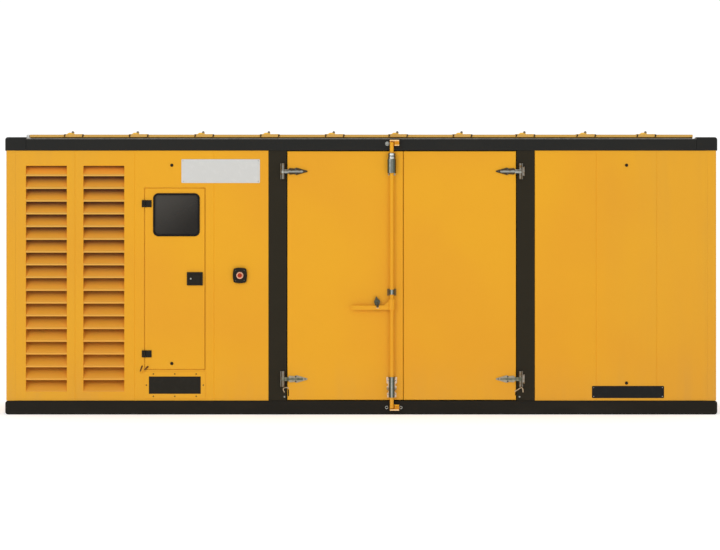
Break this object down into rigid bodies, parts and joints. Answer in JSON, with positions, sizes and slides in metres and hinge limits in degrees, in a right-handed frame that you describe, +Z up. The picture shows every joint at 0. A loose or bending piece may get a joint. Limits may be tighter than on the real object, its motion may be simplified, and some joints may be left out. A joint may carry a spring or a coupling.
{
  "type": "enclosed diesel generator",
  "caption": "Yellow panelled generator enclosure on a black skid frame, with hinged service doors, a turning lock bar, a glazed control door and side air louvres",
  "frame": {"origin": "on the ground under the middle of the footprint, on the underside of the middle floor member", "axes": "+X along the enclosure to the viewer's right, -Y out of the front with the doors, +Z up"},
  "size_m": [6.058, 2.497, 2.41],
  "materials": {
    "frame_black": "satin black paint",
    "floor_steel": "grey primed plate",
    "panel_yellow": "satin yellow paint",
    "zinc_steel": "zinc plated",
    "black_plastic": "moulded black",
    "entry_frame": "satin yellow paint",
    "gasket_rubber": "extruded black rubber",
    "tinted_glass": "dark tinted glazing",
    "collar_amber": "amber ring",
    "stop_red": "red mushroom head"
  },
  "bodies": {
    "enclosure": {"base_side_rails": "frame_black", "base_end_rails": "frame_black", "base_cross_members": "frame_black", "floor_plate": "floor_steel", "top_side_rails": "frame_black", "top_end_rails": "frame_black", "corner_caps": "frame_black", "corner_posts": "panel_yellow", "posts": "frame_black", "door_stops": "frame_black", "intake_panels": "panel_yellow", "intake_louvres": "panel_yellow", "control_panel": "panel_yellow", "stop_panel": "panel_yellow", "right_bay_panels": "panel_yellow", "back_intake_panels": "panel_yellow", "back_louvres": "panel_yellow", "back_panels": "panel_yellow", "left_end_panels": "panel_yellow", "right_end_panels": "panel_yellow", "right_end_louvres": "panel_yellow", "roof_panels": "panel_yellow", "roof_straps": "panel_yellow", "door_hinge_plates": "zinc_steel", "rod_keepers": "panel_yellow", "control_hinge_bases": "black_plastic", "cable_entry_frame": "entry_frame", "cable_entry_cover": "black_plastic", "estop_plate": "black_plastic", "estop_collar": "collar_amber", "panel_plugs": "black_plastic"},
    "left_door": {"left_door_leaf": "panel_yellow", "left_door_straps": "zinc_steel", "rod_guides": "zinc_steel", "handle_catch": "zinc_steel"},
    "lock_bar": {"lock_rod": "panel_yellow", "lock_handle": "panel_yellow"},
    "right_door": {"right_door_leaf": "panel_yellow", "right_door_straps": "zinc_steel"},
    "control_door": {"control_door_leaf": "panel_yellow", "window_gasket": "gasket_rubber", "window_glass": "tinted_glass", "control_hinge_leaves": "black_plastic", "control_lock": "black_plastic", "control_door_plug": "black_plastic"},
    "stop_button": {"estop_button": "stop_red"}
  },
  "joints": [
    {"name": "left_door_swing", "type": "hinge", "parent": "enclosure", "child": "left_door", "pos_m": [-0.665, -1.233, 0.302], "axis": [0, 0, -1], "range_deg": [0, 120]},
    {"name": "right_door_swing", "type": "hinge", "parent": "enclosure", "child": "right_door", "pos_m": [1.353, -1.233, 0.302], "axis": [0, 0, 1], "range_deg": [0, 120]},
    {"name": "control_door_swing", "type": "hinge", "parent": "enclosure", "child": "control_door", "pos_m": [-1.84375, -1.223, 0.516], "axis": [0, 0, -1], "range_deg": [0, 110]},
    {"name": "lock_bar_turn", "type": "hinge", "parent": "left_door", "child": "lock_bar", "pos_m": [0.25919, -1.243, 0.909], "axis": [0, 0, 1], "range_deg": [0, 100]},
    {"name": "stop_button_push", "type": "slide", "parent": "enclosure", "child": "stop_button", "axis": [0, 1, 0], "range_m": [0, 0.004], "stiffness_N_per_m": 500}
  ]
}
